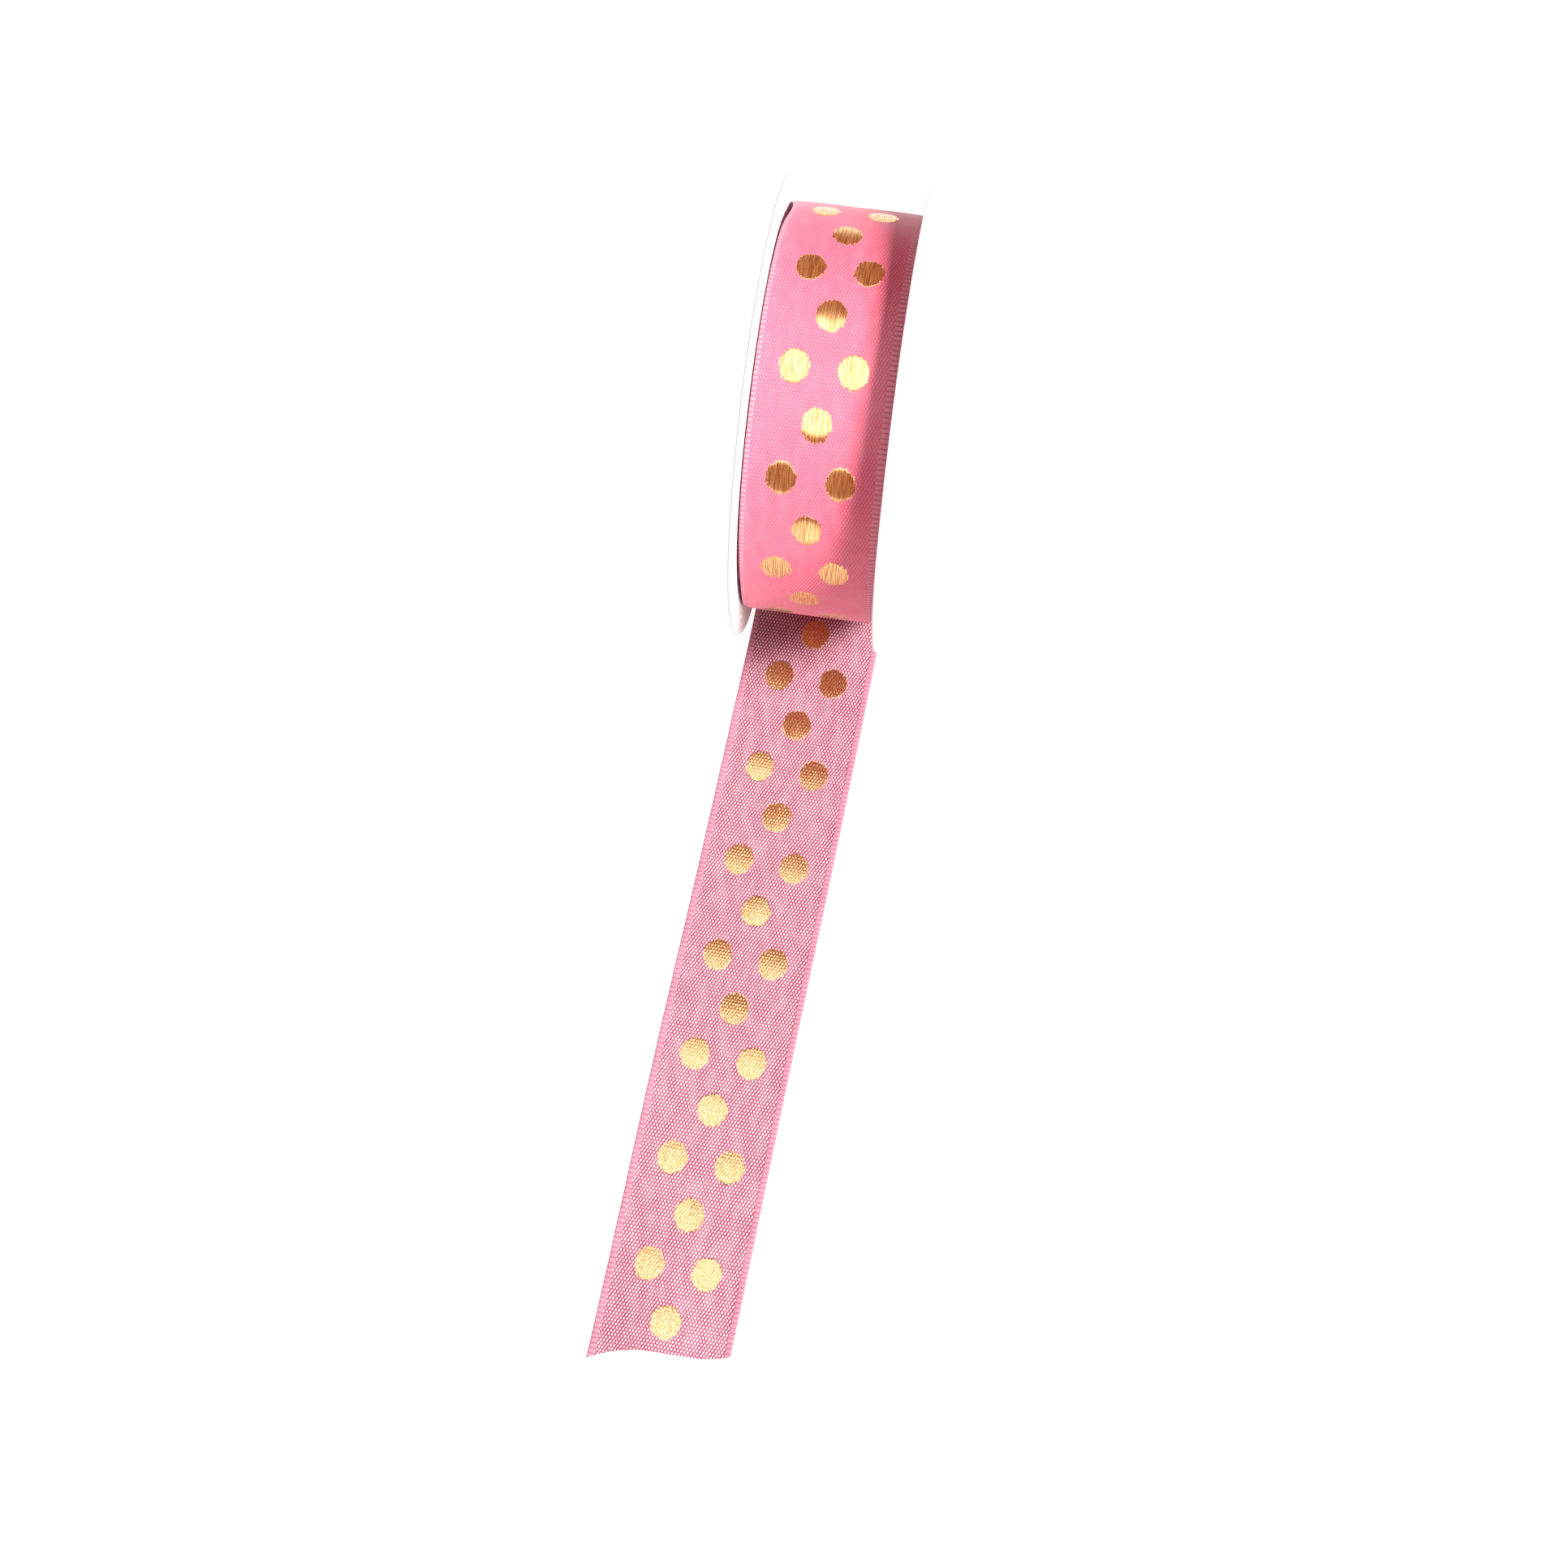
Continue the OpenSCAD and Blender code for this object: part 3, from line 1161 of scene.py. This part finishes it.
@dataclass
class LooseEnd:
    """The loose end of the ribbon: it leaves the roll's underside, comes down and lies in front.

    Its path is the one of the CAD solid that it stands for: an arc under the roll, a cubic down to
    the surface, and a shallow arch from there to the cut.
    """

    sizes: SpoolSizes
    pattern: DotPattern
    thickness: float = 0.35 * MM
    gap: float = 0.15 * MM
    leave_deg: float = 4.0
    follow_deg: float = 5.0
    arc_points: int = 16
    spacing: float = 0.25 * MM
    landing_run: float = 31.0 * MM
    landing_height: float = 0.9 * MM
    arch: float = 2.4 * MM
    arch_power: float = 1.3
    drift: float = 7.1 * MM
    drift_share: float = 0.7
    drift_power: float = 1.15
    reach: float = 172.2 * MM
    # the cut is slanted and wavy: it ends short by these times the share across, its square and its cube
    cut_curve: tuple = (15.7 * MM, -25.6 * MM, 15.0 * MM)
    cut_zone: float = 14.0 * MM
    # the first single dot that lies in front: its place, and how many rows the pattern has before it
    first_single: float = 25.2 * MM
    rows_before: int = 5
    stations: int = 520
    heading_step: float = 0.4 * MM
    waves: ClothWaves = field(default_factory=ClothWaves)

    def path(self) -> tuple[np.ndarray, np.ndarray]:
        """Gives the middle line of the cloth.

        The cubic starts at the roll with the arc's slope and lands level. The arch is the square of
        a sine of a power of the share of the lying length. The line drifts sideways by a power of
        the distance from a point a little inside the flanges' edge.

        Returns:
            The line's points, and the distance along it to each.
        """
        sizes = self.sizes
        mid = sizes.roll_radius + self.gap + self.thickness / 2
        leave = math.radians(self.leave_deg)
        turn = np.linspace(leave + math.radians(self.follow_deg), leave, self.arc_points)[:-1]
        leave_y, leave_z = mid * math.sin(leave), -mid * math.cos(leave)
        land_y, land_z = leave_y - self.landing_run, self.landing_height - sizes.flange_radius
        end_z = self.thickness / 2 - sizes.flange_radius
        u = np.linspace(0.0, 1.0, round(self.landing_run / self.spacing))[:-1]
        down = ((2 * u**3 - 3 * u**2 + 1) * leave_z
                - (u**3 - 2 * u**2 + u) * self.landing_run * math.tan(leave) + eased(u) * land_z)
        lying = np.linspace(0.0, 1.0, round((self.reach + land_y) / self.spacing))
        lying_z = (land_z + (end_z - land_z) * eased(lying)
                   + self.arch * np.sin(math.pi * lying**self.arch_power) ** 2)
        y = np.concatenate([mid * np.sin(turn), leave_y - u * self.landing_run,
                            land_y - lying * (self.reach + land_y)])
        z = np.concatenate([-mid * np.cos(turn), down, lying_z])
        start = self.drift_share * math.sqrt(sizes.flange_radius**2 - sizes.roll_radius**2)
        gone = np.clip((-y - start) / (self.reach - start), 0.0, None)
        line = np.stack([-self.drift * gone**self.drift_power, y, z], axis=1)
        steps = np.linalg.norm(np.diff(line, axis=0), axis=1)
        return line, np.concatenate([[0.0], np.cumsum(steps)])

    def places(self, across: np.ndarray, length: float) -> np.ndarray:
        """Gives each point's distance along the path.

        The stations are even, less the cut's shape, a cubic of the share across, which is eased in
        over the last stretch.

        Args:
            across: Places across the ribbon, from minus one half to one half.
            length: The path's length.

        Returns:
            The distances, one row of them for each station.
        """
        station = np.linspace(0.0, length, self.stations)[:, None]
        share = across + 0.5
        cut = sum(factor * share ** (power + 1) for power, factor in enumerate(self.cut_curve))
        return station - cut * eased((station - length + self.cut_zone) / self.cut_zone)

    def sweep(
        self, strip: RibbonStrip, place: np.ndarray, line: np.ndarray, run: np.ndarray
    ) -> np.ndarray:
        """Carries the cross-section along the path.

        A point is the path's own point at its place, plus its place across times the level
        direction at right angles to the path, plus its place through the cloth and the waves'
        height times the direction up.

        Args:
            strip: The ribbon's cross-section.
            place: Each point's distance along the path.
            line: The path's points.
            run: The distance along the path to each of them.

        Returns:
            The points.
        """
        across, through = strip.section()

        def on_line(distance: np.ndarray) -> np.ndarray:
            """Gives the points at some distances along the path."""
            return np.stack([np.interp(distance, run, line[:, axis]) for axis in range(3)], axis=-1)

        middle = on_line(place)
        heading = unit(on_line(place + self.heading_step) - on_line(place - self.heading_step))
        sideways = unit(np.stack([-heading[..., 1], heading[..., 0], np.zeros_like(place)], axis=-1))
        upwards = np.cross(heading, sideways)
        above = self.waves.above(np.broadcast_to(across, place.shape), middle[..., 1], self.reach)
        return (middle + sideways * (across * strip.width)[None, :, None]
                + upwards * (through[None, :] * self.thickness + above)[..., None])

    def build(
        self, face: bpy.types.Material, reverse: bpy.types.Material
    ) -> tuple[bpy.types.Object, float]:
        """Makes the loose end.

        Args:
            face: The finish of the ribbon's face, which is underneath here.
            reverse: The finish of its reverse, which is uppermost here.

        Returns:
            The new object, and the ribbon's length in metres.
        """
        strip = RibbonStrip(2 * self.sizes.ribbon_half, self.thickness)
        across, _ = strip.section()
        line, run = self.path()
        length = float(run[-1])
        place = self.places(across, length)
        columns = len(across)
        faces = quads_of_grid(self.stations, columns, close_columns=True)[:, ::-1]
        single_run = float(np.interp(self.first_single, -line[:, 1], run))
        along = (place - single_run) / MM + self.rows_before * self.pattern.row_pitch(
            self.sizes.roll_radius / MM)
        across_mm = np.broadcast_to((across + 0.5) * self.pattern.ribbon_width, along.shape)
        ends = [*strip.end_faces(0, flip=False),
                *strip.end_faces((self.stations - 1) * columns, flip=True)]
        made = mesh_object("loose_end", self.sweep(strip, place, line, run), [*faces.tolist(), *ends],
                           np.stack([across_mm, along], axis=-1) / MAP_SPAN_MM)
        strip.dress(made, faces, reverse, face)
        mark_sharp(made, 60.0)
        LOG.info("loose end: %.1f mm of ribbon", length / MM)
        return made, length


# ------------------------------------------------------------------------------------------ the plastic


@dataclass(frozen=True)
class TurnedProfile:
    """A closed outline of radius and distance along the axis, with rounded corners.

    Each corner is replaced with points on a quadratic curve between two points on its sides: the
    square of one share times the first, twice the product times the corner, and the square of the
    other times the second.
    """

    corners: np.ndarray
    rounding: np.ndarray
    steps: int = 4
    longest_share: float = 0.45

    @classmethod
    def from_table(cls, table: list) -> "TurnedProfile":
        """Takes rows of radius, distance along the axis and rounding."""
        values = np.array(table)
        return cls(values[:, :2], values[:, 2])

    def outline(self) -> np.ndarray:
        """Rounds the corners.

        Returns:
            The outline's points, with the same number at every corner.
        """
        before, after = np.roll(self.corners, 1, axis=0), np.roll(self.corners, -1, axis=0)
        limit = self.longest_share * np.minimum(np.linalg.norm(before - self.corners, axis=1),
                                                np.linalg.norm(after - self.corners, axis=1))
        cut = np.minimum(self.rounding, limit)[:, None]
        start = self.corners + unit(before - self.corners) * cut
        end = self.corners + unit(after - self.corners) * cut
        share = np.linspace(0.0, 1.0, self.steps + 1)[None, :, None]
        curve = ((1 - share) ** 2 * start[:, None] + 2 * share * (1 - share) * self.corners[:, None]
                 + share**2 * end[:, None])
        return curve.reshape(-1, 2)


def plastic_object(
    name: str, points: np.ndarray, faces: np.ndarray, finish: bpy.types.Material
) -> bpy.types.Object:
    """Makes a moulded piece: welded, dressed, and sharp at its hard edges.

    Args:
        name: The piece's name.
        points: Its points, in metres.
        faces: Its faces, as four point numbers each.
        finish: Its finish.

    Returns:
        The new object.
    """
    made = mesh_object(name, points, faces.tolist())
    weld(made)
    made.data.materials.append(finish)
    mark_sharp(made)
    return made


@dataclass
class Flange:
    """One moulded flange: web, rim bead, hub pad, bore tube and snap ring. Sizes in metres."""

    name: str
    sizes: SpoolSizes
    side: int
    bead: float = 0.2 * MM
    rim_width: float = 1.4 * MM
    pad_margin: float = 3.2 * MM
    bore_radius: float = 9.5 * MM
    bore_wall: float = 1.1 * MM
    core_wall: float = 1.2 * MM
    snap_fit: float = 0.05 * MM
    snap_wall: float = 1.0 * MM
    snap_length: float = 6.0 * MM
    ridge_height: float = 0.3 * MM
    ridge_length: float = 1.6 * MM
    ridge_lead: float = 0.5 * MM
    window_gap: float = 0.3 * MM
    window_height: float = 2.0 * MM
    soft: float = 0.16 * MM
    turn_points: int = 240
    # the windows: how many, half of one's width in points, and the outline's corners, counted from 0, where
    # their opening starts on the outer and on the inner face
    windows: int = 3
    window_half: int = 7
    outer_corner: int = 1
    inner_corner: int = 9

    def profile(self) -> TurnedProfile:
        """Gives the outline, the way round the solid.

        Returns:
            The outline as radius and distance in from the inner face.
        """
        s, soft, none = self.sizes, self.soft, 0.0
        outer, web = s.inner_face - s.outer_face, s.inner_face - s.outer_face + self.bead
        snap = s.core_radius - self.core_wall - self.snap_fit
        snap_inside = snap - self.snap_wall
        tube, tube_tip = self.bore_radius + self.bore_wall, s.inner_face - s.bore_tube_tip
        ridge = self.snap_length - self.ridge_length / 2 - self.ridge_lead
        window_low = snap + self.window_gap
        window_high = window_low + self.window_height
        pad, rim = s.core_radius + self.pad_margin, s.flange_radius - self.rim_width
        return TurnedProfile.from_table([
            (self.bore_radius, outer, 2 * soft),
            (window_low, outer, none),
            (window_high, outer, none),
            (pad, outer, soft),
            (pad + self.bead, web, soft),
            (rim - self.bead, web, soft),
            (rim, outer, soft),
            (s.flange_radius, outer, 2 * soft),
            (s.flange_radius, 0.0, 1.5 * soft),
            (window_high, 0.0, none),
            (window_low, 0.0, none),
            (snap, 0.0, none),
            (snap, ridge - self.ridge_length / 2, none),
            (snap + self.ridge_height, ridge, soft),
            (snap, ridge + self.ridge_length / 2, none),
            (snap, self.snap_length, soft),
            (snap_inside, self.snap_length, soft),
            (snap_inside, 0.0, none),
            (tube, 0.0, none),
            (tube, tube_tip, soft),
            (self.bore_radius, tube_tip, soft),
        ])

    def open_windows(self, quads: np.ndarray, rings: int, per_corner: int) -> np.ndarray:
        """Opens the moulding windows.

        A window is a stretch of the pad where the faces between two rings are left out, on the
        outer and the inner face, and four walls join the two openings.

        Args:
            quads: The faces of the unopened solid.
            rings: Number of points in the outline.
            per_corner: Number of points at each of its corners.

        Returns:
            The faces with the windows open.
        """
        out_high, in_low = (self.outer_corner + 1) * per_corner, (self.inner_corner + 1) * per_corner
        out_low, in_high = out_high - 1, in_low - 1
        turn, ring = quads[:, 0] // rings, quads[:, 0] % rings
        pitch = self.turn_points // self.windows
        in_window = (turn + self.window_half) % pitch < 2 * self.window_half
        kept = quads[~(in_window & ((ring == out_low) | (ring == in_high)))]
        walls = []
        for number in range(self.windows):
            columns = np.arange(-self.window_half, self.window_half + 1) + number * pitch
            first = columns % self.turn_points * rings
            here, beyond = first[:-1], first[1:]
            for near, far in ((out_low, in_low), (in_high, out_high)):
                walls.append(np.stack([here + near, beyond + near, beyond + far, here + far], axis=1))
            sides = first[[0, -1], None] + np.array([out_low, in_low, in_high, out_high])
            walls.append(np.stack([sides[0], sides[1, ::-1]]))
        return np.concatenate([kept, *walls])

    def build(self, finish: bpy.types.Material) -> bpy.types.Object:
        """Turns the outline round the axis and opens the windows.

        Args:
            finish: The plastic.

        Returns:
            The new object.
        """
        profile = self.profile()
        outline = profile.outline()
        along_axis = self.side * (self.sizes.inner_face - outline[:, 1])
        points = turned_points(along_axis, outline[:, 0], self.turn_points, start=math.pi / 2)
        quads = quads_of_grid(self.turn_points, len(outline), close_rows=True, close_columns=True)
        faces = self.open_windows(quads, len(outline), profile.steps + 1)
        return plastic_object(self.name, points, faces[:, ::-1] if self.side > 0 else faces, finish)


@dataclass
class CoreTube:
    """The tube that the ribbon is wound on, with a groove near each end for the flanges' ridges."""

    sizes: SpoolSizes
    wall: float = 1.2 * MM
    groove_from_end: float = 4.7 * MM
    groove_half: float = 0.85 * MM
    groove_depth: float = 0.3 * MM
    soft: float = 0.15 * MM
    turn_points: int = 144

    def build(self, finish: bpy.types.Material) -> bpy.types.Object:
        """Turns the outline of the wall round the axis.

        Args:
            finish: The plastic.

        Returns:
            The new object.
        """
        high, low, end = self.sizes.core_radius, self.sizes.core_radius - self.wall, self.sizes.inner_face
        groove, half, deep = end - self.groove_from_end, self.groove_half, low + self.groove_depth
        soft, none = self.soft, 0.0
        outline = TurnedProfile.from_table([
            (high, -end, soft),
            (high, end, soft),
            (low, end, soft),
            (low, groove + half, none),
            (deep, groove, none),
            (low, groove - half, none),
            (low, half - groove, none),
            (deep, -groove, none),
            (low, -half - groove, none),
            (low, -end, soft),
        ]).outline()
        points = turned_points(outline[:, 1], outline[:, 0], self.turn_points)
        faces = quads_of_grid(self.turn_points, len(outline), close_rows=True, close_columns=True)
        return plastic_object("core_barrel", points, faces[:, ::-1], finish)


# --------------------------------------------------------------------------------- floor, light, camera


@dataclass(frozen=True)
class Softbox:
    """One rectangular light that points at a target. Its power is its radiance times pi times its area."""

    name: str
    place: tuple
    size: tuple
    radiance: tuple
    target: tuple
    use: LightUse

    def build(self) -> None:
        """Adds the light to the scene."""
        data = bpy.data.lights.new(self.name, "AREA")
        data.shape = "RECTANGLE"
        data.size, data.size_y = self.size
        strongest = max(self.radiance)
        data.energy = strongest * math.pi * self.size[0] * self.size[1]
        data.color = [channel / strongest for channel in self.radiance]
        light = bpy.data.objects.new(self.name, data)
        light.visible_diffuse = self.use is LightUse.COLOUR
        light.visible_glossy = self.use is LightUse.MIRRORED
        light.location = self.place
        aim = Vector(self.target) - Vector(self.place)
        light.rotation_mode = "QUATERNION"
        light.rotation_quaternion = aim.to_track_quat("-Z", "Y")
        bpy.context.scene.collection.objects.link(light)


@dataclass(frozen=True)
class Studio:
    """A pale floor, a key light, a softbox overhead with warm cards round it, and the camera."""

    sizes: SpoolSizes
    floor_half: float = 120.0
    floor_points: int = 9
    surround_tone: tuple = (0.28, 0.155, 0.185, 1.0)
    beyond_floor: tuple = (1.0, 1.0, 1.0, 1.0)
    key_radiance: tuple = (74.0, 74.0, 74.0)
    fill_radiance: tuple = (2.4, 2.4, 2.4)
    overhead_radiance: tuple = (2.8, 2.8, 2.8)
    card_radiance: tuple = (0.50, 0.175, 0.09)
    ribbon_aim: tuple = (0.0, -0.1, 0.0)
    camera_distance: float = 568.0 * MM
    camera_elevation_deg: float = 59.34
    camera_azimuth_deg: float = 8.15
    focal_length_mm: float = 69.8
    sensor_mm: float = 36.0
    clip: tuple = (0.01, 400.0)
    # where the spool's centre stands in the picture, as shares of its side from the middle, right and up
    centre_right: float = 0.03285
    centre_up: float = 0.23647

    def add_floor(self) -> None:
        """Adds the floor, level with the flanges' lowest points."""
        side = np.linspace(-self.floor_half, self.floor_half, self.floor_points)
        x, y = np.meshgrid(side, side, indexing="ij")
        points = np.stack([x, y, np.full_like(x, -self.sizes.flange_radius)], axis=-1)
        faces = quads_of_grid(self.floor_points, self.floor_points)[:, ::-1]
        floor = mesh_object("floor", points, faces.tolist())
        floor.data.materials.append(PaleFloor().build())

    def add_lights(self) -> None:
        """Adds the lights and the surroundings.

        Each light's row gives its name, place, size, radiance, target and use.
        """
        colour, mirrored, card = LightUse.COLOUR, LightUse.MIRRORED, self.card_radiance
        for name, place, size, radiance, target, use in (
            ("key", (1.04, -0.26, 0.95), (0.44, 0.55), self.key_radiance, self.ribbon_aim, colour),
            ("left_fill", (-0.95, -0.26, 0.9), (0.4, 0.5), self.fill_radiance, self.ribbon_aim, colour),
            ("overhead", (0.0, -0.335, 0.95), (2.0, 1.43), self.overhead_radiance, (0.0, -0.335, 0.0),
             mirrored),
            ("front_card", (0.0, -1.8, 0.9), (6.0, 1.9), card, (0.0, 0.0, 0.9), mirrored),
            ("back_card", (0.0, 1.5, 1.7), (6.0, 3.5), card, (0.0, 0.0, 1.7), mirrored),
            ("left_card", (-2.2, -0.2, 1.2), (4.0, 2.4), card, (0.0, -0.2, 1.2), mirrored),
            ("right_card", (2.2, -0.2, 1.2), (4.0, 2.4), card, (0.0, -0.2, 1.2), mirrored),
        ):
            Softbox(name, place, size, radiance, target, use).build()
        bpy.context.scene.world = self.surroundings()
        bpy.context.scene.view_settings.view_transform = "Standard"

    def surroundings(self) -> bpy.types.World:
        """Makes the surroundings.

        They are an even warm tone that shiny surfaces do not mirror, and that the camera sees as white.

        Returns:
            The surroundings.
        """
        world = bpy.data.worlds.new("surroundings")
        world.use_nodes = True
        tools = NodeTools(world.node_tree)
        seen = tools.add("ShaderNodeLightPath").outputs["Is Camera Ray"]
        tools.join(tools.blend(seen, self.surround_tone, self.beyond_floor),
                   world.node_tree.nodes["Background"].inputs["Color"])
        world.cycles_visibility.glossy = False
        return world

    def add_camera(self) -> None:
        """Adds the camera.

        It starts aimed at the spool's centre with its top edge level, and is then turned about its
        own upright and level axes until the centre stands off the picture's middle as it should.
        """
        azimuth = math.radians(self.camera_azimuth_deg)
        elevation = math.radians(self.camera_elevation_deg)
        back = Vector((math.sin(azimuth) * math.cos(elevation), -math.cos(azimuth) * math.cos(elevation),
                       math.sin(elevation)))
        right = Vector((math.cos(azimuth), math.sin(azimuth), 0.0))
        aimed = Matrix((right, back.cross(right), back)).transposed()
        picture = self.sensor_mm / self.focal_length_mm
        pan = math.atan(self.centre_right * picture)
        tilt = math.atan(self.centre_up * picture * math.cos(pan))
        turned = aimed @ Matrix.Rotation(pan, 3, "Y") @ Matrix.Rotation(-tilt, 3, "X")
        data = bpy.data.cameras.new("camera")
        data.sensor_width = self.sensor_mm
        data.lens = self.focal_length_mm
        data.clip_start, data.clip_end = self.clip
        camera = bpy.data.objects.new("camera", data)
        camera.matrix_world = Matrix.Translation(back * self.camera_distance) @ turned.to_4x4()
        bpy.context.scene.collection.objects.link(camera)
        bpy.context.scene.camera = camera


# ------------------------------------------------------------------------------------------------ main


def settle(piece: bpy.types.Object, body: str, node: str) -> None:
    """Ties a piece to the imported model.

    Args:
        piece: The piece.
        body: The body that it rides.
        node: The CAD node that it replaces.
    """
    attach(piece, body)
    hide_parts(node)
    LOG.info("%s: %d faces, rides %s", piece.name, len(piece.data.polygons), body)


def main() -> None:
    """Builds the spool round the frame, dresses it and sets up the studio."""
    logging.basicConfig(level=logging.INFO, format="%(name)s: %(message)s")
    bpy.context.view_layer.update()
    sizes = SpoolSizes.from_frame()
    studio = Studio(sizes)
    studio.add_camera()
    studio.add_floor()
    studio.add_lights()

    pattern = DotPattern()
    row_pitch = pattern.row_pitch(sizes.roll_radius / MM)
    face, reverse = (WovenRibbon(pattern, row_pitch, side).build() for side in ClothSide)

    settle(WoundLayers(sizes).build(), "spool", "ribbon_roll")
    turn = OuterTurn(sizes, pattern)
    outer = turn.build(face, reverse)
    settle(outer, "spool", "ribbon_roll")

    loose, length = LooseEnd(sizes, pattern).build(face, reverse)
    settle(loose, "loose_ribbon", "ribbon_tail")

    white = MouldedPlastic().build()
    for name, node, side in (("left_disc", "left_flange", -1), ("right_disc", "right_flange", 1)):
        settle(Flange(name, sizes, side).build(white), "spool", node)
    core_white = MouldedPlastic(name="core_moulding", roughness_low=0.4, roughness_high=0.55).build()
    settle(CoreTube(sizes).build(core_white), "spool", "core_tube")
    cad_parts["core_tape"].material_slots[0].material = ClothTape().build()


if __name__ == "__main__":
    main()
